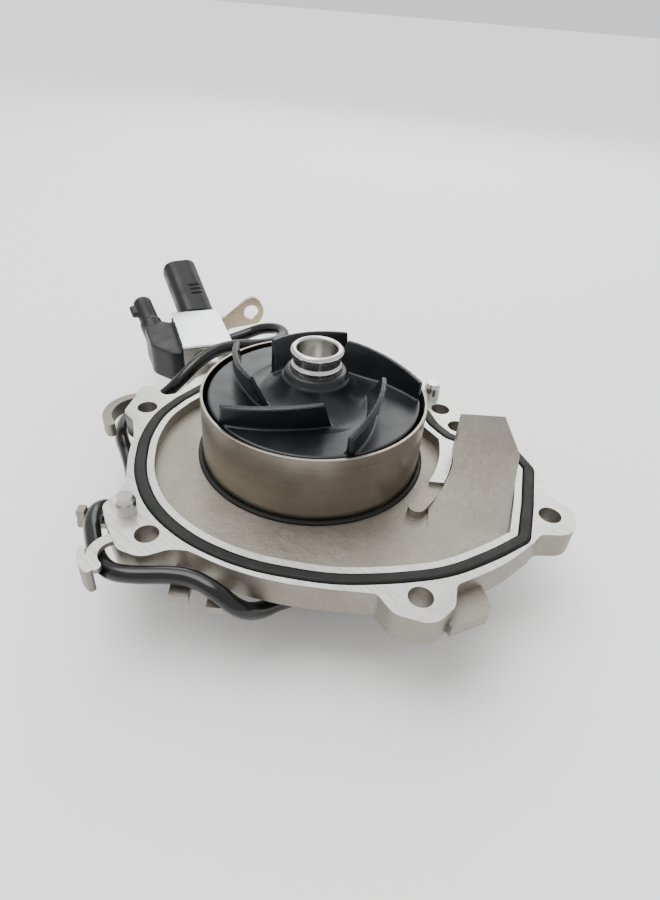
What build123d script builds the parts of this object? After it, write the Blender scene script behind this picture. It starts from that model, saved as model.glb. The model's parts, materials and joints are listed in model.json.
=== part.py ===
from build123d import *
from math import cos, pi, radians, sin, tan
import os

os.makedirs("parts", exist_ok=True)

# Driving dimensions, mm. The origin is on the pump axis in the mounting face; +Z points to the impeller.
flange_t = 9.0
groove_w = 4.0
groove_d = 3.0
gasket_w = 3.4
gasket_proud = 0.6
lip_w = 2.2
floor_z = -4.0
volute_r = 41.0
bolt_hole_r = 3.5
dowel_r = 3.0
dowel_top = 6.3
dowel_depth = 7.0
dowel_seat_r = 2.5
dowel_chamfer = 1.4

sleeve_r = 37.0
sleeve_wall = 0.9
sleeve_top = 19.7
sleeve_bottom = -8.0
bore_gap = 0.3
pocket_z = -10.0
bowl_r = 42.5
bowl_z = -14.0
tower_r = 18.0
tower_top = 8.0
spigot_r = 16.0
spigot_top = 10.0
piston_t = 4.0
piston_seal_w = 1.6
wiper_r = 38.7
wiper_z = -6.0
wiper_h = 3.0
rod_r = 2.0
rod_pitch_r = 28.0
rod_count = 3
rod_start = 30
rod_top = 9.0
slide_gap = 0.08
magnet_r = 2.0
magnet_h = 3.0
magnet_x = 5.8
magnet_y = 33.0
spring_wire_r = 0.6
spring_r = 20.5
spring_turns = 3
retainer_r = 23.0

bearing_r = 15.0
bearing_bottom = -27.0
bearing_top = 2.5
nose_r = 18.5
nose_bottom = -28.0
shaft_r = 7.96
journal_r = 6.45
journal_bottom = 5.0
shaft_top = 27.5
shaft_bottom = -35.0
ball_r = 2.1
ball_pitch_r = 10.1
ball_rows = (-20.0, -5.0)
ball_count = 9
cage_t = 1.4
cage_h = 5.4
seat_r = 13.0
seal_face_z = 7.5
seal_ring_top = 11.0

disc_r = 34.8
disc_bottom = 17.0
disc_top = 19.0
insert_bottom = 15.0
insert_top = 35.7
blade_count = 5
# Height, outer arc and thickness of one blade at its root and at its top.
blade_sections = [
    (disc_bottom + 0.5, [(18.6, 0.4), (17.9, -17.0), (11.6, -33.4)], 2.2),
    (29.5, [(22.7, -4.2), (20.8, -17.0), (11.6, -33.4)], 1.7),
]

pulley_r = 25.5
pulley_top = -17.0
pulley_bore_r = 20.5
tooth_count = 20
tooth_gap_r = 2.2
web_t = 4.0
hub_r = 11.5
hub_top = -29.0

valve_x = -52.0
valve_y = 75.7
valve_z = -8.0
valve_angle = 20.5
yoke_w = 22.0
yoke_l = 35.0
yoke_h = 20.0
yoke_t = 1.8
valve_bore_r = 6.0
valve_bore_depth = 17.0
valve_body_end = -34.0
passage_z = -6.2
passage_r = 1.2
passage_l = 24.0
tube_r = 5.0
tube_bore_r = 4.3
plunger_r = 4.2
plunger_front = -9.0
plunger_back = 3.0
pole_front = 6.0
coil_r = 7.9
connector_tilt = 28.0
connector_yaw = 8.5
connector_l = 33.0
connector_w = 15.5
connector_h = 12.5
connector_wall = 1.5
connector_corner = 5.0
socket_depth = 12.0
stub_l = 26.0
stub_r = 5.0
stub_tip_r = 4.3
stub_lean = 12.0
terminal_seat = 4.0
terminal_reach = 6.0

sensor_face_z = -13.0
sensor_x = 9.5
sensor_y = -50.0
sensor_w = 13.0
sensor_l = 14.0
sensor_screw_r = 1.6
sensor_screw_depth = 7.0

cable_r = 2.5
cable_turn_share = 0.45
arm_t = 2.4

bolt_holes = [(-59.9, 13.0), (-44.4, -49.7), (31.1, -66.6), (75.0, -31.8), (48.2, 24.5), (53.0, 13.5)]
dowels = [(-52.1, -41.4), (45.5, 33.0)]

# Flange edge, anticlockwise from the back left: x, y and the corner's radius.
flange_edge = [
    (-46, 37, 3), (-51, 23.5, 3), (-56, 21.5, 2.5), (-61, 28, 2.2), (-65.5, 26.5, 2), (-66, 19, 2),
    (-67.5, 9, 5), (-62.8, 4.5, 3), (-60.2, -4, 8), (-59, -16, 89), (-56, -29, 6), (-57, -33.5, 2),
    (-60.2, -39, 4), (-57, -46, 6), (-51, -56, 5), (-44, -58.5, 6), (-37, -55, 6), (-32, -55, 6),
    (-20, -60.8, 67), (-6, -64.6, 73), (8, -65.8, 120), (19.5, -66.3, 2.5), (23.5, -72.5, 5),
    (34, -75.5, 6.5), (40, -69, 4), (41.5, -61.7, 3), (56, -53.8, 60), (67, -44, 5), (70, -40.6, 3),
    (80.5, -40.3, 7), (84, -29, 7), (76.7, -22.5, 4), (78, -10, 8), (76.5, 4, 6), (66, 12, 5),
    (62.3, 20, 5), (56, 25, 2), (55.5, 33, 5), (50, 40, 5), (38, 44.5, 6), (20, 48.5, 94), (-8, 49.5, 83),
    (-27, 46, 109), (-40, 42, 5),
]

# Outer edge of the gasket groove, the same way round.
groove_edge = [
    (-43, 32.5, 5), (-51, 21, 8), (-56.5, 10, 33), (-58.3, -5, 53), (-55.5, -24, 52), (-47.5, -40, 46),
    (-34, -52.5, 56), (-16, -61, 63), (8, -64.6, 65), (26, -62.6, 120), (41, -59.3, 49), (56, -51, 108),
    (66, -44, 6), (71, -28, 120), (76, -9, 6), (72.5, 1.5, 6), (64, 6, 8), (50.5, 8, 4), (46, 15, 6),
    (43, 25, 8), (34, 35.5, 10), (16, 44, 45), (-15, 45, 45), (-30, 40.5, 10),
]

# Cast arms that carry the cable: x, y, length, width and top.
cable_arms = [(-33, -59.5, 12, 5.5, -6.6), (-23.0, -61.2, 12, 4.8, -8.4)]

# Points of the cable's centre line, from the valve round the housing to the position sensor.
cable_route = [
    (-40.4, 79.9, -6.0), (-33.5, 83.6, -4.5), (-26.0, 84.0, -1.0), (-18.2, 80.0, 1.5), (-14.5, 72.5, 2.6),
    (-17.0, 64.0, 3.2), (-24.5, 58.4, 3.8), (-33.0, 57.0, 4.2), (-41.0, 52.0, 4.0), (-47.6, 43.6, 2.4),
    (-53.6, 36.8, -3.0), (-60.0, 34.6, -9.0), (-67.0, 31.5, -12.8), (-72.0, 24.5, -13.2), (-71.4, 15.5, -11.6),
    (-69.0, 7.0, -10.0), (-64.6, -2.5, -9.4), (-61.9, -11.5, -11.6), (-60.9, -19.5, -13.0), (-62.0, -26.4, -11.4),
    (-64.2, -32.4, -6.4), (-63.4, -41.0, -4.9), (-60.4, -48.4, -4.8), (-57.4, -55.0, -5.0), (-52.2, -60.6, -4.2),
    (-44.6, -61.8, -3.4), (-36.0, -60.9, -3.4), (-29.0, -61.8, -3.3), (-22.4, -65.4, -4.0), (-16.4, -67.6, -8.4),
    (-11.4, -63.4, -13.9), (-5.6, -56.6, -16.6), (4.0, -53.4, -16.6),
]


def rounded(points):
    """A closed outline through points given as x, y and corner radius."""
    return FilletPolyline(*[(x, y) for x, y, r in points], radius=[r for x, y, r in points], close=True)


def save(builder, name):
    builder.part.label = name
    export_step(builder.part, f"parts/{name}.step")


def ring(name, outer_r, inner_r, bottom, top):
    """A plain ring about the pump axis."""
    with BuildPart() as piece:
        with BuildSketch(Plane.XY.offset(bottom)):
            Circle(outer_r)
            Circle(inner_r, mode=Mode.SUBTRACT)
        extrude(amount=top - bottom)
    save(piece, name)


def coil(wire_r, coil_r, turns, bottom, top, base=Plane.XY):
    """A round-wire compression spring between two levels of a plane."""
    height = top - bottom - 2 * wire_r
    with BuildPart() as piece:
        with BuildLine() as path:
            start = base.origin + base.z_dir * (bottom + wire_r)
            Helix(pitch=height / turns, height=height, radius=coil_r, center=start, direction=base.z_dir)
        with BuildSketch(Plane(origin=path.line @ 0, z_dir=path.line % 0)):
            Circle(wire_r)
        sweep(is_frenet=True)
    return piece


# The valve lies on its side behind the flange, turned away from the pump.
valve_across = Vector(cos(radians(valve_angle)), sin(radians(valve_angle)), 0)
valve_along = Vector(-sin(radians(valve_angle)), cos(radians(valve_angle)), 0)
valve_centre = Vector(valve_x, valve_y, valve_z)
valve_axis = Plane(origin=valve_centre, x_dir=valve_across * -1, z_dir=valve_along)
valve_flat = Plane(origin=valve_centre, x_dir=valve_across, z_dir=(0, 0, 1))


def valve_point(x, y, z):
    """A point given across, along and above the valve's centre."""
    return valve_centre + valve_across * x + valve_along * y + Vector(0, 0, z)


def raised_plane(origin, lean):
    """A plane whose normal points away from the pump, rising and leaning outwards."""
    outward = valve_along * cos(radians(lean)) - valve_across * sin(radians(lean))
    sideways = valve_across * -cos(radians(lean)) - valve_along * sin(radians(lean))
    rising = outward * cos(radians(connector_tilt)) + Vector(0, 0, sin(radians(connector_tilt)))
    return Plane(origin=origin, x_dir=sideways, z_dir=rising)


# ---- Outlet ramp: a curved rise out of the volute floor, part of the casting ----
ramp_foot = (-41.0, floor_z - 0.1)
ramp_rise = 18.2
ramp_run = 41.5
ramp_left = 36.0
ramp_right = 70.0
ramp_radius = (ramp_run**2 + ramp_rise**2) / (2 * ramp_rise)
ramp_mid = radians(24)

with BuildPart() as ramp:
    with BuildSketch(Plane.YZ.offset(ramp_left)):
        with BuildLine():
            ramp_lip = (ramp_foot[0] + ramp_run, ramp_foot[1] + ramp_rise)
            mid_y = ramp_foot[0] + ramp_radius * sin(ramp_mid)
            mid_z = ramp_foot[1] + ramp_radius * (1 - cos(ramp_mid))
            ThreePointArc(ramp_foot, (mid_y, mid_z), ramp_lip)
            Polyline(ramp_lip, (ramp_lip[0], -6), (ramp_foot[0], -6), ramp_foot)
        make_face()
    extrude(amount=ramp_right - ramp_left)
    # Seen from above, the left side follows the tongue and the right side follows the gasket lip.
    with BuildSketch(Plane.XY.offset(-6)):
        with BuildLine():
            side = [(49.6, 2, 0.1), (48.4, -7, 9), (46.4, -14.5, 12), (43.2, -21, 12), (38, -28.5, 3), (36.4, -42, 0.1)]
            rounded(side + [(60, -42, 0.1), (64.6, -27, 40), (69.6, -9, 5), (69.2, -3.5, 3), (65.4, 2, 0.1)])
        make_face()
    extrude(amount=30, mode=Mode.INTERSECT)
    # Upper right corner cut away.
    with BuildSketch(Plane.XZ.offset(-5)):
        with BuildLine():
            Polyline((63.6, 16), (70.2, 4.5), (74, 4.5), (74, 16), close=True)
        make_face()
    extrude(amount=50, mode=Mode.SUBTRACT)

# ---- Housing: one casting with flange, volute floor, slide pocket, seal tower and bearing nose ----
with BuildPart() as housing:
    with BuildSketch(Plane.XY.offset(-flange_t)):
        with BuildLine():
            rounded(flange_edge)
        make_face()
    extrude(amount=flange_t)
    # Slide bowl and bearing nose behind the flange.
    with BuildSketch(Plane.XY.offset(bowl_z)):
        Circle(bowl_r)
    extrude(amount=-bowl_z - flange_t)
    with BuildSketch(Plane.XY.offset(nose_bottom)):
        Circle(nose_r)
    extrude(amount=bowl_z - nose_bottom)
    # Boss that carries the position sensor.
    with BuildSketch(Plane.XY.offset(sensor_face_z)):
        with Locations((sensor_x, sensor_y)):
            RectangleRounded(15.5, 14, 5)
    extrude(amount=-sensor_face_z - flange_t)
    # Valve boss and cast foot tab.
    with BuildSketch(valve_axis.offset(-yoke_l / 2 - 0.5)):
        Circle(-valve_z)
    extrude(amount=-24)
    with BuildSketch(Plane.XY.offset(-flange_t)):
        with BuildLine():
            Polyline((41, -58), (49.5, -55), (51.5, -64.5), (50, -67), (39.5, -72), (36, -66), close=True)
        make_face()
    extrude(amount=4)
    # Volute floor: everything inside the gasket lip, except the tongue.
    with BuildSketch():
        with BuildLine():
            rounded(groove_edge)
        make_face()
        offset(amount=-groove_w - lip_w)
        Circle(volute_r, mode=Mode.SUBTRACT)
        with BuildLine():
            ThreePointArc((44, 16), (43.3, -8), (31.2, -29.6))
            ThreePointArc((31.2, -29.6), (33.2, -32.4), (36.4, -31))
            ThreePointArc((36.4, -31), (46.6, -12), (50, 10))
            Line((50, 10), (44, 16))
        make_face(mode=Mode.SUBTRACT)
    extrude(amount=floor_z, mode=Mode.SUBTRACT)
    # Lower end of the tongue.
    with BuildSketch():
        with BuildLine():
            Polyline((28, -28), (30, -36), (44, -30), (46.5, -19.5), (38.5, -19.0), close=True)
        make_face()
        Circle(volute_r, mode=Mode.SUBTRACT)
    extrude(amount=-1.3, mode=Mode.SUBTRACT)
    # Floor close to the slide, and the pocket that the slide drops into.
    with BuildSketch():
        Circle(volute_r)
    extrude(amount=floor_z, mode=Mode.SUBTRACT)
    with BuildSketch():
        Circle(sleeve_r + bore_gap)
    extrude(amount=pocket_z, mode=Mode.SUBTRACT)
    # Gasket groove.
    with BuildSketch():
        with BuildLine():
            rounded(groove_edge)
        make_face()
        offset(amount=-groove_w, mode=Mode.SUBTRACT)
    extrude(amount=-groove_d, mode=Mode.SUBTRACT)
    add(ramp.part)
    # Seal tower with its spigot.
    with BuildSketch(Plane.XY.offset(pocket_z)):
        Circle(tower_r)
    extrude(amount=tower_top - pocket_z)
    with BuildSketch(Plane.XY.offset(tower_top)):
        Circle(spigot_r)
    extrude(amount=spigot_top - tower_top)
    # Hooks and arms that hold the cable.
    with BuildSketch(Plane.XY.offset(-6)):
        SlotArc(ThreePointArc((-65.4, 22), (-73.4, 12.5), (-70.6, 3.5)), height=3.2)
    extrude(amount=5)
    with BuildSketch(Plane.XY.offset(-1.7)):
        SlotArc(ThreePointArc((-53, -51.4), (-57.0, -55.6), (-55.0, -62.0)), height=3.2)
    extrude(amount=1.5)
    with BuildSketch(Plane.XY.offset(-8)):
        SlotArc(ThreePointArc((-60.4, -56.2), (-59.2, -60.2), (-56.4, -63.4)), height=2.2)
    extrude(amount=7.8)
    for x, y, length, width, top in cable_arms:
        with BuildSketch(Plane.XY.offset(top - arm_t)):
            with Locations((x, y)):
                Rectangle(width, length)
        extrude(amount=arm_t)
    with BuildSketch(Plane.XY.offset(-11)):
        with BuildLine():
            Polyline((-55, -34), (-69.6, -35), (-69.4, -38), (-55, -38), close=True)
        make_face()
    extrude(amount=11 - flange_t)
    with BuildSketch(Plane.XY.offset(-11)):
        with Locations((-67.8, -36.5)):
            Rectangle(2.4, 3.2)
    extrude(amount=6.5)
    # Bolt and dowel holes.
    with Locations(*[(x, y, 0) for x, y in bolt_holes]):
        Hole(bolt_hole_r, depth=flange_t)
    with Locations(*[(x, y, 0) for x, y in dowels]):
        Hole(dowel_seat_r, depth=dowel_depth)
    # Bearing bore, then the seal seat's bore up to the top of the tower.
    with BuildSketch(Plane.XY.offset(nose_bottom)):
        Circle(bearing_r)
    extrude(amount=bearing_top - nose_bottom, mode=Mode.SUBTRACT)
    with BuildSketch(Plane.XY.offset(bearing_top)):
        Circle(seat_r)
    extrude(amount=spigot_top - bearing_top, mode=Mode.SUBTRACT)
    # Open groove for the slide's wiper seal.
    with BuildSketch(Plane.XY.offset(wiper_z)):
        Circle(wiper_r)
        Circle(sleeve_r, mode=Mode.SUBTRACT)
    extrude(amount=floor_z - wiper_z, mode=Mode.SUBTRACT)
    # Guide rod holes.
    with BuildSketch(Plane.XY.offset(bowl_z)):
        with PolarLocations(rod_pitch_r, rod_count, rod_start):
            Circle(rod_r)
    extrude(amount=pocket_z - bowl_z, mode=Mode.SUBTRACT)
    # Valve bore, its control passage to the pocket, and the sensor screw's hole.
    with BuildSketch(valve_axis.offset(-yoke_l / 2 - 0.5)):
        Circle(valve_bore_r)
    extrude(amount=-valve_bore_depth, mode=Mode.SUBTRACT)
    with BuildSketch(valve_axis.offset(-yoke_l / 2 - 0.5)):
        with Locations((0, passage_z - valve_z)):
            Circle(passage_r)
    extrude(amount=-valve_bore_depth - passage_l, mode=Mode.SUBTRACT)
    with BuildSketch(Plane.XY.offset(sensor_face_z)):
        with Locations((sensor_x, sensor_y)):
            Circle(sensor_screw_r)
    extrude(amount=sensor_screw_depth, mode=Mode.SUBTRACT)
save(housing, "housing")

# ---- Gasket and dowels ----
with BuildPart() as mounting_gasket:
    with BuildSketch(Plane.XY.offset(-groove_d)):
        with BuildLine():
            rounded(groove_edge)
        make_face()
        offset(amount=(gasket_w - groove_w) / 2)
        offset(amount=-gasket_w, mode=Mode.SUBTRACT)
    extrude(amount=groove_d + gasket_proud)
save(mounting_gasket, "mounting_gasket")

with BuildPart() as dowel_pins:
    with BuildSketch(Plane.XY.offset(-dowel_depth)):
        with Locations(*dowels):
            Circle(dowel_seat_r)
    extrude(amount=dowel_depth)
    with BuildSketch():
        with Locations(*dowels):
            Circle(dowel_r)
    extrude(amount=dowel_top)
    chamfer(dowel_pins.faces().group_by(Axis.Z)[-1].edges(), dowel_chamfer, 0.8)
save(dowel_pins, "dowel_pins")

# ---- Regulating slide: steel sleeve on a piston ring, guided by three rods ----
ring("slide_sleeve", sleeve_r, sleeve_r - sleeve_wall, sleeve_bottom, sleeve_top)

with BuildPart() as slide_piston:
    with BuildSketch(Plane.XY.offset(sleeve_bottom)):
        Circle(sleeve_r - sleeve_wall)
        Circle(tower_r + 0.3, mode=Mode.SUBTRACT)
        with PolarLocations(rod_pitch_r, rod_count, rod_start):
            Circle(rod_r + slide_gap, mode=Mode.SUBTRACT)
    extrude(amount=piston_t)
    with BuildSketch(Plane.XY.offset(sleeve_bottom + 1)):
        Circle(tower_r + piston_seal_w)
    extrude(amount=2, mode=Mode.SUBTRACT)
    with BuildSketch(Plane.XY.offset(sleeve_bottom + piston_t)):
        with Locations((magnet_x, -magnet_y)):
            Circle(magnet_r)
    extrude(amount=-magnet_h, mode=Mode.SUBTRACT)
save(slide_piston, "slide_piston")

ring("piston_seal", tower_r + piston_seal_w, tower_r + 0.1, sleeve_bottom + 1, sleeve_bottom + 3)
ring("slide_wiper_seal", wiper_r, sleeve_r + 0.1, wiper_z, wiper_z + wiper_h)

with BuildPart() as slide_magnet:
    with BuildSketch(Plane.XY.offset(sleeve_bottom + piston_t)):
        with Locations((magnet_x, -magnet_y)):
            Circle(magnet_r)
    extrude(amount=-magnet_h)
save(slide_magnet, "slide_magnet")

with BuildPart() as guide_rods:
    with BuildSketch(Plane.XY.offset(bowl_z)):
        with PolarLocations(rod_pitch_r, rod_count, rod_start):
            Circle(rod_r)
    extrude(amount=rod_top - bowl_z)
    chamfer(guide_rods.faces().group_by(Axis.Z)[-1].edges(), 0.5)
save(guide_rods, "guide_rods")

return_spring = coil(spring_wire_r, spring_r, spring_turns, sleeve_bottom + piston_t + 0.1, tower_top - 0.1)
save(return_spring, "return_spring")
ring("spring_retainer", retainer_r, spigot_r, tower_top, tower_top + 1.5)

# ---- Shaft, bearing and mechanical seal ----
with BuildPart() as pump_shaft:
    with BuildSketch(Plane.XY.offset(shaft_bottom)):
        Circle(shaft_r)
    extrude(amount=journal_bottom - shaft_bottom)
    with BuildSketch(Plane.XY.offset(journal_bottom)):
        Circle(journal_r)
    extrude(amount=shaft_top - journal_bottom)
    chamfer(pump_shaft.faces().sort_by(Axis.Z)[-1].edges(), 0.8)
    chamfer(pump_shaft.faces().sort_by(Axis.Z)[0].edges(), 0.8)
save(pump_shaft, "pump_shaft")

race_r = ball_pitch_r + ball_r + 0.05
ring("bearing_outer_ring", bearing_r, race_r, bearing_bottom, bearing_top)

with BuildPart() as bearing_balls:
    for row_z in ball_rows:
        with Locations((0, 0, row_z)):
            with PolarLocations(ball_pitch_r, ball_count):
                Sphere(ball_r)
save(bearing_balls, "bearing_balls")

with BuildPart() as bearing_cages:
    for row_z in ball_rows:
        with BuildSketch(Plane.XY.offset(row_z - cage_h / 2)):
            Circle(ball_pitch_r + cage_t / 2)
            Circle(ball_pitch_r - cage_t / 2, mode=Mode.SUBTRACT)
        extrude(amount=cage_h)
        with Locations((0, 0, row_z)):
            with PolarLocations(ball_pitch_r, ball_count):
                Cylinder(ball_r + 0.1, 3 * cage_t, rotation=(0, 90, 0), mode=Mode.SUBTRACT)
save(bearing_cages, "bearing_cages")

with BuildPart() as bearing_seals:
    for seal_z in (bearing_bottom + 0.5, bearing_top - 2):
        with BuildSketch(Plane.XY.offset(seal_z)):
            Circle(race_r)
            Circle(shaft_r + 0.1, mode=Mode.SUBTRACT)
        extrude(amount=1.5)
save(bearing_seals, "bearing_seals")

ring("seal_seat", seat_r, shaft_r + 0.6, bearing_top + 0.5, seal_face_z)
ring("seal_ring", seat_r - 0.7, journal_r + 0.9, seal_face_z + 0.3, seal_ring_top)
ring("seal_bellows", journal_r + 0.9, journal_r, seal_face_z + 0.8, insert_bottom)
save(coil(0.55, journal_r + 2.6, 2, seal_ring_top + 0.1, insert_bottom - 0.1), "seal_spring")

# ---- Impeller and its metal insert ----
with BuildPart() as impeller_insert:
    with BuildSketch(Plane.XZ):
        with BuildLine():
            Polyline(
                (journal_r, insert_bottom), (8.2, insert_bottom), (8.2, 30.2), (7.5, 30.9), (7.5, 33.2),
                (8.4, 33.9), (8.4, 35.0), (7.7, insert_top), (6.9, insert_top), (journal_r, 35.2), close=True,
            )
        make_face()
    revolve(axis=Axis.Z)
save(impeller_insert, "impeller_insert")

with BuildPart() as blade:
    for height, outer_arc, thickness in blade_sections:
        with BuildSketch(Plane.XY.offset(height)):
            with BuildLine():
                ThreePointArc(*outer_arc)
                offset(amount=thickness, side=Side.RIGHT)
            make_face()
    loft(ruled=True)

with BuildPart() as impeller:
    with BuildSketch(Plane.XZ):
        with BuildLine():
            Polyline(
                (11, 26.0), (10.4, 26.4), (10.2, 27.0), (9.6, 28.2), (8.2, 28.6), (8.2, insert_bottom),
                (12, insert_bottom), (13, disc_bottom), (disc_r, disc_bottom), (disc_r, disc_top - 0.4),
                (disc_r - 0.4, disc_top), (23, disc_top),
            )
            ThreePointArc((23, disc_top), (14.2, 20.9), (11, 26.0))
        make_face()
    revolve(axis=Axis.Z)
    with PolarLocations(0, blade_count):
        add(blade.part)
    # The blades fall towards their tips and end flush with the disc.
    with BuildSketch(Plane.XZ):
        with BuildLine():
            Polyline((13, 29.4), (22, 28.9), (37, 24.4), (40, 34), (13, 34), close=True)
        make_face()
    revolve(axis=Axis.Z, mode=Mode.SUBTRACT)
    with BuildSketch(Plane.XY.offset(disc_bottom)):
        Circle(40)
        Circle(disc_r, mode=Mode.SUBTRACT)
    extrude(amount=14, mode=Mode.SUBTRACT)
save(impeller, "impeller")

# ---- Drive pulley ----
with BuildPart() as drive_pulley:
    with BuildSketch(Plane.XY.offset(shaft_bottom)):
        Circle(pulley_r)
        Circle(shaft_r, mode=Mode.SUBTRACT)
        with PolarLocations(pulley_r + 0.4, tooth_count):
            Circle(tooth_gap_r, mode=Mode.SUBTRACT)
        with PolarLocations(16, 5):
            Circle(3, mode=Mode.SUBTRACT)
    extrude(amount=pulley_top - shaft_bottom)
    with BuildSketch(Plane.XY.offset(shaft_bottom + web_t)):
        Circle(pulley_bore_r)
        Circle(hub_r, mode=Mode.SUBTRACT)
    extrude(amount=pulley_top - shaft_bottom - web_t, mode=Mode.SUBTRACT)
    with BuildSketch(Plane.XY.offset(hub_top)):
        Circle(hub_r)
    extrude(amount=pulley_top - hub_top, mode=Mode.SUBTRACT)
save(drive_pulley, "drive_pulley")
ring("pulley_guide_disc", pulley_r + 2, pulley_bore_r, pulley_top, pulley_top + 1)

# ---- Solenoid valve ----
half_w = yoke_w / 2
half_l = yoke_l / 2
half_h = yoke_h / 2

with BuildPart() as valve_yoke:
    with BuildSketch(Plane(origin=valve_point(-half_w + 0.6, 0, 0), x_dir=valve_along, z_dir=valve_across)):
        RectangleRounded(yoke_l, yoke_h, 1.6)
        Rectangle(yoke_l - 2 * yoke_t, yoke_h - 2 * yoke_t, mode=Mode.SUBTRACT)
    extrude(amount=yoke_w - 1.2)
    with BuildSketch(valve_axis.offset(-half_l - 1)):
        Circle(valve_bore_r + 0.1)
    extrude(amount=yoke_l + 2, mode=Mode.SUBTRACT)
save(valve_yoke, "valve_yoke")

with BuildPart() as valve_body:
    with BuildSketch(valve_axis.offset(-half_l + yoke_t)):
        Circle(valve_bore_r)
        Circle(1.5, mode=Mode.SUBTRACT)
    extrude(amount=valve_body_end + half_l - yoke_t)
    with BuildSketch(valve_axis.offset(valve_body_end + 3)):
        Circle(valve_bore_r)
        Circle(valve_bore_r - 1.2, mode=Mode.SUBTRACT)
    extrude(amount=2, mode=Mode.SUBTRACT)
save(valve_body, "valve_body")

with BuildPart() as valve_seal:
    with BuildSketch(valve_axis.offset(valve_body_end + 3)):
        Circle(valve_bore_r)
        Circle(valve_bore_r - 1.2, mode=Mode.SUBTRACT)
    extrude(amount=2)
save(valve_seal, "valve_seal")

with BuildPart() as core_tube:
    with BuildSketch(valve_axis.offset(-half_l + yoke_t)):
        Circle(tube_r)
        Circle(tube_bore_r, mode=Mode.SUBTRACT)
    extrude(amount=yoke_l - 2 * yoke_t)
save(core_tube, "core_tube")

with BuildPart() as pole_piece:
    with BuildSketch(valve_axis.offset(pole_front)):
        Circle(tube_bore_r)
    extrude(amount=half_l - yoke_t - pole_front)
    with BuildSketch(valve_axis.offset(half_l - yoke_t)):
        Circle(tube_r)
    extrude(amount=yoke_t)
save(pole_piece, "pole_piece")

with BuildPart() as valve_plunger:
    with BuildSketch(valve_axis.offset(plunger_front)):
        Circle(plunger_r)
    extrude(amount=plunger_back - plunger_front)
    with BuildSketch(valve_axis.offset(plunger_front)):
        Circle(1.2)
    extrude(amount=-21)
    with BuildSketch(valve_axis.offset(plunger_back)):
        Circle(3.2)
    extrude(amount=-5, mode=Mode.SUBTRACT)
save(valve_plunger, "valve_plunger")
save(coil(0.35, 2.4, 4, plunger_back - 2.2, pole_front - 0.1, valve_axis), "valve_spring")

with BuildPart() as valve_bobbin:
    with BuildSketch(valve_axis.offset(-half_l + yoke_t)):
        Circle(coil_r)
        Circle(tube_r + 0.05, mode=Mode.SUBTRACT)
    extrude(amount=yoke_l - 2 * yoke_t)
    with BuildSketch(valve_axis.offset(-half_l + yoke_t + 1.5)):
        Circle(coil_r + 1)
        Circle(tube_r + 1, mode=Mode.SUBTRACT)
    extrude(amount=yoke_l - 2 * yoke_t - 3, mode=Mode.SUBTRACT)
save(valve_bobbin, "valve_bobbin")

with BuildPart() as valve_coil:
    with BuildSketch(valve_axis.offset(-half_l + yoke_t + 1.5)):
        Circle(coil_r)
        Circle(tube_r + 1, mode=Mode.SUBTRACT)
    extrude(amount=yoke_l - 2 * yoke_t - 3)
save(valve_coil, "valve_coil")

# Closed stub on the overmould, tilted up and away from the pump.
stub_plane = raised_plane(valve_point(-17.5, 8, -1.5), stub_lean)
stub_tip = stub_plane.offset(stub_l)

with BuildPart() as valve_overmould:
    with BuildSketch(Plane(origin=valve_point(-10.9, 0, 0), x_dir=valve_along, z_dir=valve_across)):
        Rectangle(yoke_l - 2 * yoke_t, yoke_h - 2 * yoke_t)
    extrude(amount=yoke_w)
    # Side block beyond the yoke's left opening.
    with BuildSketch(valve_flat.offset(-7.5)):
        with BuildLine():
            side = [(-10.4, -16, 1), (-15, -15.2, 3), (-22.4, -6, 7), (-23.2, 12, 4), (-19, 19, 3), (-10.4, 13.5, 1)]
            rounded(side)
        make_face()
    extrude(amount=14)
    with BuildSketch(stub_plane):
        Circle(stub_r)
    extrude(amount=stub_l / 2)
    with BuildSketch(stub_plane.offset(stub_l / 2 - 1)):
        Circle(stub_tip_r)
    extrude(amount=stub_l / 2 + 1)
    fillet(valve_overmould.faces().sort_by_distance(stub_tip.origin)[0].edges(), 2.2)
    # Nub on the stub's outer side.
    with BuildSketch(stub_plane.offset(stub_l - 8)):
        with Locations((stub_tip_r + 0.6, 0)):
            RectangleRounded(3.4, 3.4, 1.2)
    extrude(amount=5)
    with BuildSketch(valve_axis.offset(-half_l)):
        Circle(coil_r + 0.02)
    extrude(amount=yoke_l, mode=Mode.SUBTRACT)
save(valve_overmould, "valve_overmould")

# Main connector: a tilted shell with a socket at its far end and two flat terminals.
connector_base = Plane(origin=valve_point(2.4, half_l, 3), x_dir=valve_across * -1, z_dir=valve_along)
connector_plane = raised_plane(connector_base.origin, connector_yaw)
socket_floor = connector_plane.offset(connector_l - socket_depth)

with BuildPart() as connector_terminals:
    with BuildSketch(socket_floor.offset(-terminal_seat)):
        with Locations((-2.5, 0), (2.5, 0)):
            Rectangle(1.5, 0.8)
    extrude(amount=terminal_seat + terminal_reach)
save(connector_terminals, "connector_terminals")

with BuildPart() as main_connector:
    with BuildSketch(connector_plane):
        RectangleRounded(connector_w, connector_h, connector_corner)
    extrude(amount=connector_l)
    with BuildSketch(connector_base):
        RectangleRounded(connector_w, connector_h, connector_corner)
    extrude(amount=7)
    with BuildSketch(socket_floor):
        RectangleRounded(
            connector_w - 2 * connector_wall,
            connector_h - 2 * connector_wall,
            connector_corner - connector_wall,
        )
    extrude(amount=socket_depth, mode=Mode.SUBTRACT)
    # Grip grooves across the top.
    for step in range(3):
        with BuildSketch(connector_plane.offset(12 + 2.4 * step)):
            with Locations((-3.5, connector_h / 2)):
                Rectangle(8, 1.2)
        extrude(amount=1.2, mode=Mode.SUBTRACT)
    split(bisect_by=connector_base, keep=Keep.TOP)
    add(connector_terminals.part, mode=Mode.SUBTRACT)
save(main_connector, "main_connector")

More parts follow.
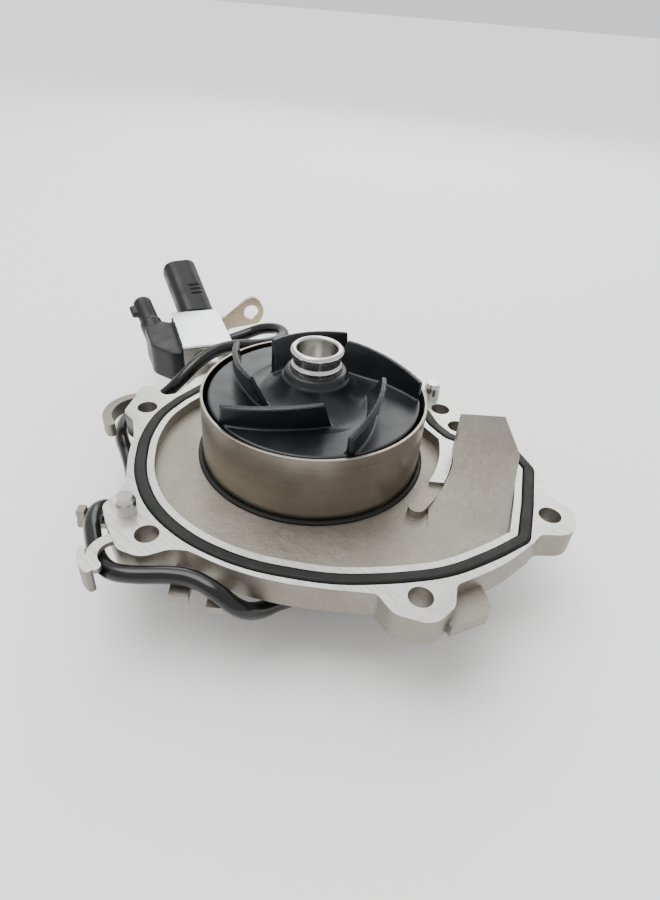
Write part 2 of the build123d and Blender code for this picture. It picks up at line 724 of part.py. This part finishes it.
# ---- Bracket with an eyelet, carried by the yoke's back plate ----
bracket_edge = [
    (-10.4, -4, 0.1), (-10.4, 5, 0.5), (-14.6, 5.8, 3), (-24.7, 13.7, 2), (-28, 14.7, 2), (-30.8, 12.6, 2),
    (-32.8, 8.3, 2.5), (-32.2, 4.2, 2.5), (-30.2, 1.1, 2), (-16, -0.3, 4), (-12, -4, 1.5),
]
eyelet_at = (-26.6, 7.1)
eyelet_r = 3.5
with BuildPart() as eyelet_bracket:
    with BuildSketch(valve_axis.offset(half_l)):
        with BuildLine():
            rounded(bracket_edge)
        make_face()
        with Locations(eyelet_at):
            Circle(eyelet_r, mode=Mode.SUBTRACT)
    extrude(amount=-yoke_t)
save(eyelet_bracket, "eyelet_bracket")

# ---- Position sensor under the front of the flange, its screw and the cable ----
with BuildPart() as position_sensor:
    with BuildSketch(Plane.XY.offset(sensor_face_z)):
        with Locations((sensor_x, sensor_y)):
            RectangleRounded(sensor_w, sensor_l, 3)
    extrude(amount=-7)
    with BuildSketch(Plane.XY.offset(sensor_face_z)):
        with Locations((sensor_x, sensor_y)):
            Circle(sensor_screw_r)
    extrude(amount=-7, mode=Mode.SUBTRACT)
save(position_sensor, "position_sensor")

with BuildPart() as sensor_screw:
    with BuildSketch(Plane.XY.offset(sensor_face_z - 7)):
        with Locations((sensor_x, sensor_y)):
            Circle(sensor_screw_r)
    extrude(amount=12.5)
    with BuildSketch(Plane.XY.offset(sensor_face_z - 7)):
        with Locations((sensor_x, sensor_y)):
            Circle(3)
    extrude(amount=-2.2)
    with BuildSketch(Plane.XY.offset(sensor_face_z - 9.2)):
        with Locations((sensor_x, sensor_y)):
            RegularPolygon(1.5, 6)
    extrude(amount=1.4, mode=Mode.SUBTRACT)
save(sensor_screw, "sensor_screw")

route = [Vector(*point) for point in cable_route]
runs = [(after - before).length for before, after in zip(route, route[1:])]
turns = [(b - a).get_angle(c - b) for a, b, c in zip(route, route[1:], route[2:])]
radii = []
for run_in, run_out, turn in zip(runs, runs[1:], turns):
    radii.append(cable_turn_share * min(run_in, run_out) / tan(radians(turn / 2)))
with BuildPart() as harness_cable:
    with BuildLine() as cable_line:
        FilletPolyline(*route, radius=radii)
    with BuildSketch(Plane(origin=cable_line.line @ 0, z_dir=cable_line.line % 0)):
        Circle(cable_r)
    sweep()
save(harness_cable, "harness_cable")
print("cable bend radii", [round(radius, 1) for radius in radii])
cable_length = cable_line.wires()[0].length
print("cable length", round(cable_length, 1), "volume", round(harness_cable.part.volume, 1))
print("section times length", round(pi * cable_r**2 * cable_length, 1))
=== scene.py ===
import json
import math

import bmesh
import bpy
from mathutils import Matrix, Vector


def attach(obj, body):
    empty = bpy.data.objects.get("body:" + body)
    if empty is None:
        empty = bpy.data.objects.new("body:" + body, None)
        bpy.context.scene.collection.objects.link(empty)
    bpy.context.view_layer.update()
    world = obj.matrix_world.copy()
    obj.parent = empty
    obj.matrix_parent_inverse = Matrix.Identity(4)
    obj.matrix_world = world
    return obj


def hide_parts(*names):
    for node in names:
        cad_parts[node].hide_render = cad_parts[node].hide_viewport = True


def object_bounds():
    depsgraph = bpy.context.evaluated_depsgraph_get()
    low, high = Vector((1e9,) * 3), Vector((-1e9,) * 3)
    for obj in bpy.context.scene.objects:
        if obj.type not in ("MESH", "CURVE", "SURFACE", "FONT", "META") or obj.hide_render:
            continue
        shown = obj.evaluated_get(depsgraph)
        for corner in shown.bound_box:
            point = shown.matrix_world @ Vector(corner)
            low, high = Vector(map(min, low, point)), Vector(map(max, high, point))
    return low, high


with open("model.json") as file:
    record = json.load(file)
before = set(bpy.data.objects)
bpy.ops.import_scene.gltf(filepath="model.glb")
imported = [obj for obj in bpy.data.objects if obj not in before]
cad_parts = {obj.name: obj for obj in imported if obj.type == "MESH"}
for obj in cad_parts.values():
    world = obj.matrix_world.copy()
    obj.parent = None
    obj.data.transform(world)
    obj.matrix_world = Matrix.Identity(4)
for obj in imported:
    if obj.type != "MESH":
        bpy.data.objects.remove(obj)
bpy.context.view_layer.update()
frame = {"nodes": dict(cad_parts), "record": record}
nodes = frame["nodes"]
MM = 0.001

# ---- Camera ----
CAMERA_AT = Vector((0.0, -0.170194, 0.125179))
TILT, YAW, ROLL = 0.650, 0.039, 0.087
LENS_MM = 24.33

forward = Vector((math.sin(YAW) * math.cos(TILT), math.cos(YAW) * math.cos(TILT), -math.sin(TILT)))
level = Vector((math.cos(YAW), -math.sin(YAW), 0.0))
upward = level.cross(forward)
right = level * math.cos(ROLL) + upward * math.sin(ROLL)
above = upward * math.cos(ROLL) - level * math.sin(ROLL)
camera_data = bpy.data.cameras.new("camera")
camera_data.lens = LENS_MM
camera_data.clip_start = 0.01
camera = bpy.data.objects.new("camera", camera_data)
turn = Matrix((right, above, -forward)).transposed().to_4x4()
camera.matrix_world = Matrix.Translation(CAMERA_AT) @ turn
bpy.context.scene.collection.objects.link(camera)
bpy.context.scene.camera = camera


# ---- Materials ----
class Shader:
    """Builds one node material, with coordinates in the object's own frame."""

    def __init__(self, name):
        self.material = bpy.data.materials.new(name)
        self.material.use_nodes = True
        self.tree = self.material.node_tree
        self.bsdf = self.tree.nodes["Principled BSDF"]
        self.coords = self.tree.nodes.new("ShaderNodeTexCoord").outputs["Object"]

    def link(self, source, socket):
        if hasattr(source, "is_output"):
            self.tree.links.new(source, socket)
        else:
            socket.default_value = source

    def math(self, operation, a, b=0.0, c=0.0):
        """One math node on numbers or sockets."""
        node = self.tree.nodes.new("ShaderNodeMath")
        node.operation = operation
        for value, socket in zip((a, b, c), node.inputs):
            self.link(value, socket)
        return node.outputs[0]

    def parts(self, vector):
        node = self.tree.nodes.new("ShaderNodeSeparateXYZ")
        self.link(vector, node.inputs[0])
        return node.outputs

    def joined(self, x, y, z):
        node = self.tree.nodes.new("ShaderNodeCombineXYZ")
        for value, socket in zip((x, y, z), node.inputs):
            self.link(value, socket)
        return node.outputs[0]

    def noise(self, scale, detail=3.0, vector=None, distortion=0.0):
        node = self.tree.nodes.new("ShaderNodeTexNoise")
        self.link(self.coords if vector is None else vector, node.inputs["Vector"])
        node.inputs["Scale"].default_value = scale
        node.inputs["Detail"].default_value = detail
        node.inputs["Distortion"].default_value = distortion
        return node.outputs["Fac"]

    def cells(self, scale):
        node = self.tree.nodes.new("ShaderNodeTexVoronoi")
        self.link(self.coords, node.inputs["Vector"])
        node.inputs["Scale"].default_value = scale
        return node.outputs["Color"]

    def span(self, value, low, high, to_low, to_high):
        """Maps a range of one value onto another range."""
        node = self.tree.nodes.new("ShaderNodeMapRange")
        self.link(value, node.inputs["Value"])
        for key, number in zip(("From Min", "From Max", "To Min", "To Max"), (low, high, to_low, to_high)):
            node.inputs[key].default_value = number
        return node.outputs[0]

    def mix(self, factor, a, b):
        node = self.tree.nodes.new("ShaderNodeMix")
        node.data_type = "RGBA"
        self.link(factor, node.inputs[0])
        for value, socket in ((a, node.inputs[6]), (b, node.inputs[7])):
            self.link(value if hasattr(value, "is_output") else (*value, 1.0), socket)
        return node.outputs[2]

    def bump(self, height, distance, strength=1.0, onto=None):
        node = self.tree.nodes.new("ShaderNodeBump")
        self.link(height, node.inputs["Height"])
        node.inputs["Distance"].default_value = distance
        node.inputs["Strength"].default_value = strength
        if onto is not None:
            self.tree.links.new(onto, node.inputs["Normal"])
        return node.outputs[0]

    def turned(self, scale):
        """Fine rings about the pump axis, the same all the way round."""
        height = self.parts(self.coords)[2]
        return self.noise(scale, 4.0, self.joined(0.0, 0.0, height))

    def set(self, **values):
        names = {"color": "Base Color", "rough": "Roughness", "metal": "Metallic", "normal": "Normal",
                 "coat": "Coat Weight", "coat_rough": "Coat Roughness", "gloss": "Specular IOR Level"}
        for key, value in values.items():
            if key == "color" and not hasattr(value, "is_output"):
                value = (*value, 1.0)
            self.link(value, self.bsdf.inputs[names[key]])
        return self.material


def shade(color, factor):
    return tuple(min(1.0, channel * factor) for channel in color)


MILLED_DEPTH = 0.35 * MM
FACING_UP = 0.96
TOWER_R = 18.5 * MM
MILLING_ACROSS = (0.64, 0.77)


def cast_metal():
    """Sand-textured cast aluminium, with milled faces in the mounting plane and a machined tower."""
    s = Shader("cast_aluminium")
    geometry = s.tree.nodes.new("ShaderNodeNewGeometry")
    facing = s.parts(geometry.outputs["Normal"])[2]
    x, y, z = s.parts(s.coords)
    radius = s.math("SQRT", s.math("ADD", s.math("MULTIPLY", x, x), s.math("MULTIPLY", y, y)))
    flat = s.math("GREATER_THAN", facing, FACING_UP)
    milled = s.math("MULTIPLY", flat, s.math("COMPARE", z, 0.0, MILLED_DEPTH))
    tower = s.math("LESS_THAN", radius, TOWER_R)
    machined = s.math("MAXIMUM", milled, tower)
    grain = s.noise(2600.0, 4.0)
    lumps = s.noise(420.0, 3.0)
    stain = s.noise(38.0, 5.0)
    cast = s.mix(s.span(stain, 0.3, 0.7, 0.0, 1.0), (0.235, 0.215, 0.180), (0.335, 0.315, 0.275))
    cast = s.mix(s.span(grain, 0.42, 0.62, 0.0, 0.4), cast, (0.17, 0.155, 0.13))
    # Milling marks run diagonally over the flange.
    step_x, step_y = MILLING_ACROSS
    across = s.math("ADD", s.math("MULTIPLY", x, step_x), s.math("MULTIPLY", y, step_y))
    along = s.math("SUBTRACT", s.math("MULTIPLY", x, step_y), s.math("MULTIPLY", y, step_x))
    lines = s.noise(1500.0, 4.0, s.joined(across, s.math("MULTIPLY", along, 0.02), 0.0))
    bright = s.mix(s.span(lines, 0.3, 0.7, 0.0, 1.0), (0.50, 0.495, 0.475), (0.72, 0.72, 0.70))
    rough = s.math("ADD", s.math("MULTIPLY", machined, -0.14), s.span(lumps, 0.3, 0.7, 0.40, 0.52))
    sand = s.bump(s.math("MULTIPLY", grain, s.math("SUBTRACT", 1.0, machined)), 0.12 * MM, 0.55)
    sand = s.bump(s.math("MULTIPLY", lumps, s.math("SUBTRACT", 1.0, machined)), 0.25 * MM, 0.5, sand)
    sand = s.bump(s.math("MULTIPLY", lines, machined), 0.03 * MM, 0.35, sand)
    return s.set(color=s.mix(machined, cast, bright), rough=rough, metal=0.82, normal=sand)


def turned_metal(name, color, rough, scale=2200.0, depth=0.02):
    """Turned steel with fine rings, depth in mm."""
    s = Shader(name)
    rings = s.turned(scale)
    tone = s.mix(s.span(rings, 0.3, 0.7, 0.0, 1.0), shade(color, 0.86), shade(color, 1.1))
    wear = s.span(s.noise(90.0, 4.0), 0.3, 0.7, rough * 0.8, rough * 1.25)
    return s.set(color=tone, rough=wear, metal=1.0, normal=s.bump(rings, depth * MM, 0.4))


def moulded(name, color, rough, sheen_rough=0.3, coat=0.0, grain=1800.0, depth=0.05, gloss=0.3):
    """Moulded plastic or rubber with a fine grain, depth in mm."""
    s = Shader(name)
    cloud = s.noise(70.0, 4.0)
    fine = s.noise(grain, 3.0)
    tone = s.mix(s.span(cloud, 0.3, 0.7, 0.0, 1.0), color, shade(color, 1.35))
    patchy = s.span(s.noise(160.0, 4.0), 0.3, 0.7, rough * 0.8, rough * 1.25)
    return s.set(color=tone, rough=patchy, normal=s.bump(fine, depth * MM, 0.35), coat=coat,
                 coat_rough=sheen_rough, gloss=gloss)


def plated(name, color, rough, spangle=160.0):
    """Plated or bare sheet with faint spangles and smears."""
    s = Shader(name)
    cell = s.parts(s.cells(spangle))[0]
    smear = s.noise(220.0, 5.0, distortion=1.2)
    tone = s.mix(s.span(cell, 0.0, 1.0, 0.0, 0.5), color, shade(color, 0.8))
    tone = s.mix(s.span(smear, 0.45, 0.7, 0.0, 0.5), tone, shade(color, 1.15))
    return s.set(color=tone, rough=s.span(smear, 0.3, 0.7, rough * 0.7, rough * 1.4), metal=1.0,
                 normal=s.bump(s.noise(900.0), 0.03 * MM, 0.3))


MATERIALS = {
    "cast_body": cast_metal(),
    "machined_steel": turned_metal("turned_steel", (0.60, 0.59, 0.57), 0.22, 2200.0, 0.008),
    "sleeve_metal": turned_metal("sleeve_steel", (0.34, 0.305, 0.255), 0.32, 900.0, 0.002),
    "seal_rubber": moulded("seal_rubber", (0.009, 0.010, 0.009), 0.5, grain=2500.0, depth=0.08, gloss=0.22),
    "impeller_plastic": moulded("impeller_plastic", (0.0055, 0.0068, 0.008), 0.34, 0.2, 0.2, 1500.0, 0.02),
    "black_plastic": moulded("black_plastic", (0.0065, 0.0065, 0.007), 0.42, 0.35, 0.05, 2200.0, 0.04),
    "zinc_plate": plated("zinc_plate", (0.72, 0.73, 0.74), 0.22),
    "bracket_plate": plated("bracket_plate", (0.60, 0.50, 0.36), 0.34),
    "cable_jacket": moulded("cable_jacket", (0.003, 0.003, 0.0035), 0.2, 0.1, 0.25, 900.0, 0.02),
    "bearing_steel": turned_metal("bearing_steel", (0.62, 0.62, 0.63), 0.12),
    "spring_steel": turned_metal("spring_steel", (0.42, 0.42, 0.43), 0.3),
    "copper_wire": plated("copper_wire", (0.72, 0.34, 0.16), 0.3, 900.0),
    "terminal_brass": plated("terminal_brass", (0.75, 0.62, 0.36), 0.25, 600.0),
    "sintered_steel": moulded("sintered_steel", (0.12, 0.12, 0.125), 0.5, grain=3000.0, depth=0.08),
    "seal_carbon": moulded("seal_carbon", (0.03, 0.03, 0.032), 0.35),
}


def dress(obj, slot):
    obj.data.materials.clear()
    obj.data.materials.append(MATERIALS[slot])


slots = {entry["node"]: entry["material_slot"] for entry in frame["record"]["subparts"]}
for node_name, node in nodes.items():
    dress(node, slots[node_name])


def add(obj, body, slot, replaces=()):
    """Puts a new piece in the scene on a body, with the finish of a slot."""
    if obj.name not in bpy.context.scene.collection.objects:
        bpy.context.scene.collection.objects.link(obj)
    dress(obj, slot)
    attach(obj, body)
    if replaces:
        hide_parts(*replaces)
    return obj


# ---- Harness cable ----
CABLE_ROUTE = [
    (-40.4, 79.9, -6.0), (-33.5, 83.6, -4.5), (-26.0, 84.0, -1.0), (-18.2, 80.0, 1.5),
    (-14.5, 72.5, 2.6), (-17.0, 64.0, 3.2), (-24.5, 58.4, 3.8), (-33.0, 57.0, 4.2),
    (-41.0, 52.0, 4.0), (-47.6, 43.6, 2.4), (-53.6, 36.8, -3.0), (-60.0, 34.6, -9.0),
    (-67.0, 31.5, -12.8), (-72.0, 24.5, -13.2), (-71.4, 15.5, -11.6), (-69.0, 7.0, -10.0),
    (-63.8, -2.5, -10.4), (-59.8, -11.5, -13.0), (-58.3, -19.5, -14.2), (-60.4, -27.0, -12.4),
    (-64.2, -32.6, -6.8), (-63.4, -41.0, -4.9), (-60.4, -48.4, -4.8), (-57.4, -55.0, -5.0),
    (-52.2, -60.6, -4.2), (-44.6, -61.8, -3.4), (-36.0, -60.9, -3.4), (-29.0, -61.8, -3.3),
    (-22.4, -65.4, -4.0), (-16.4, -67.6, -8.4), (-11.4, -63.4, -13.9), (-5.6, -56.6, -16.6),
    (4.0, -53.4, -16.6),
]
CABLE_D = 5.0 * MM
cable_curve = bpy.data.curves.new("harness_lead", "CURVE")
cable_curve.dimensions = "3D"
cable_curve.bevel_depth = CABLE_D / 2
cable_curve.bevel_resolution = 6
cable_curve.resolution_u = 10
cable_curve.use_fill_caps = True
spline = cable_curve.splines.new("NURBS")
spline.points.add(len(CABLE_ROUTE) - 1)
for point, place in zip(spline.points, CABLE_ROUTE):
    point.co = (*(Vector(place) * MM), 1.0)
spline.use_endpoint_u = True
spline.order_u = 3
cable = bpy.data.objects.new("harness_lead", cable_curve)
add(cable, "housing", "cable_jacket", ("harness_cable",))


# ---- Edge-rounded copies of CAD pieces ----
def refined(node_name, width, segments=3, angle=32.0):
    """A copy of a CAD node with its sharp edges rounded."""
    source = nodes[node_name]
    mesh = source.data.copy()
    work = bmesh.new()
    work.from_mesh(mesh)
    bmesh.ops.remove_doubles(work, verts=work.verts, dist=0.002 * MM)
    bmesh.ops.dissolve_limit(work, angle_limit=math.radians(0.6), verts=work.verts, edges=work.edges)
    work.to_mesh(mesh)
    work.free()
    piece = bpy.data.objects.new(node_name + "_shape", mesh)
    bpy.context.scene.collection.objects.link(piece)
    rounding = piece.modifiers.new("rounding", "BEVEL")
    rounding.limit_method = "ANGLE"
    rounding.angle_limit = math.radians(angle)
    rounding.width = width
    rounding.segments = segments
    rounding.use_clamp_overlap = True
    settle(piece)
    even = piece.modifiers.new("even", "WEIGHTED_NORMAL")
    even.keep_sharp = True
    applied(piece)
    return piece


def applied(piece):
    """Applies a piece's modifiers and gives its new mesh."""
    bpy.context.view_layer.update()
    graph = bpy.context.evaluated_depsgraph_get()
    result = bpy.data.meshes.new_from_object(piece.evaluated_get(graph))
    piece.modifiers.clear()
    piece.data = result
    return result


def settle(piece, angle=30.0):
    """Applies a piece's modifiers and smooths it up to an edge angle."""
    result = applied(piece)
    for face in result.polygons:
        face.use_smooth = True
    work = bmesh.new()
    work.from_mesh(result)
    for edge in work.edges:
        edge.smooth = not (len(edge.link_faces) == 2 and edge.calc_face_angle(0.0) > math.radians(angle))
    work.to_mesh(result)
    work.free()


def softened(node_name, voxel, rounds):
    """A copy of a CAD node whose corners, inside and outside, are all rounded as a moulding's are."""
    piece = bpy.data.objects.new(node_name + "_shape", nodes[node_name].data.copy())
    bpy.context.scene.collection.objects.link(piece)
    remesh = piece.modifiers.new("remesh", "REMESH")
    remesh.mode = "VOXEL"
    remesh.voxel_size = voxel
    smooth = piece.modifiers.new("smooth", "SMOOTH")
    smooth.factor = 0.5
    smooth.iterations = rounds
    settle(piece, 60.0)
    return piece


# Voxel size in mm and smoothing rounds of each soft moulding.
SOFT = {"valve_overmould": (0.35, 14), "main_connector": (0.3, 8), "impeller": (0.32, 5)}
# Edge rounding in mm and its segments for each hard piece.
SHAPED = {
    "housing": (0.45, 3), "impeller_insert": (0.25, 3), "slide_sleeve": (0.2, 2),
    "mounting_gasket": (0.9, 4), "valve_yoke": (0.3, 2),
    "eyelet_bracket": (0.25, 2), "position_sensor": (0.8, 3), "drive_pulley": (0.3, 2),
    "sensor_screw": (0.3, 2), "slide_wiper_seal": (0.5, 3),
    "pulley_guide_disc": (0.3, 2), "pump_shaft": (0.2, 2),
}
bodies = frame["record"]["behaviour"]["bodies"]
body_of = {member: body for body, members in bodies.items() for member in members}
for node_name, (width, segments) in SHAPED.items():
    piece = refined(node_name, width * MM, segments)
    add(piece, body_of[node_name], slots[node_name], (node_name,))
for node_name, (voxel, rounds) in SOFT.items():
    add(softened(node_name, voxel * MM, rounds), body_of[node_name], slots[node_name], (node_name,))

# ---- Stage ----
floor_mesh = bpy.data.meshes.new("floor")
SIDE = 6.0
FLOOR_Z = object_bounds()[0][2]
floor_mesh.from_pydata([(-SIDE, -SIDE, FLOOR_Z), (SIDE, -SIDE, FLOOR_Z), (SIDE, SIDE, FLOOR_Z),
                        (-SIDE, SIDE, FLOOR_Z)], [], [(0, 1, 2, 3)])
floor = bpy.data.objects.new("floor", floor_mesh)
bpy.context.scene.collection.objects.link(floor)
floor_shader = Shader("floor_white")
floor_mesh.materials.append(floor_shader.set(color=(0.97, 0.97, 0.97), rough=0.9, gloss=0.1))

world = bpy.data.worlds.new("studio")
bpy.context.scene.world = world
world.use_nodes = True
backdrop = world.node_tree.nodes["Background"]
backdrop.inputs["Color"].default_value = (1.0, 1.0, 1.0, 1.0)
backdrop.inputs["Strength"].default_value = 1.0


def lamp(name, at, size, power):
    """A rectangular lamp aimed at the pump."""
    data = bpy.data.lights.new(name, "AREA")
    data.shape = "RECTANGLE"
    data.size, data.size_y = size
    data.energy = power
    obj = bpy.data.objects.new(name, data)
    bpy.context.scene.collection.objects.link(obj)
    obj.location = at
    obj.rotation_euler = (-Vector(at)).to_track_quat("-Z", "Y").to_euler()


lamp("key", (-0.25, -0.05, 0.75), (0.5, 0.5), 3.0)
lamp("back", (0.15, 0.75, 0.45), (0.9, 0.4), 3.5)
sky = bpy.data.lights.new("overhead", "SUN")
sky.energy = 1.6
sky.angle = math.radians(50)
overhead = bpy.data.objects.new("overhead", sky)
overhead.rotation_euler = (math.radians(-12), math.radians(-14), 0)
bpy.context.scene.collection.objects.link(overhead)
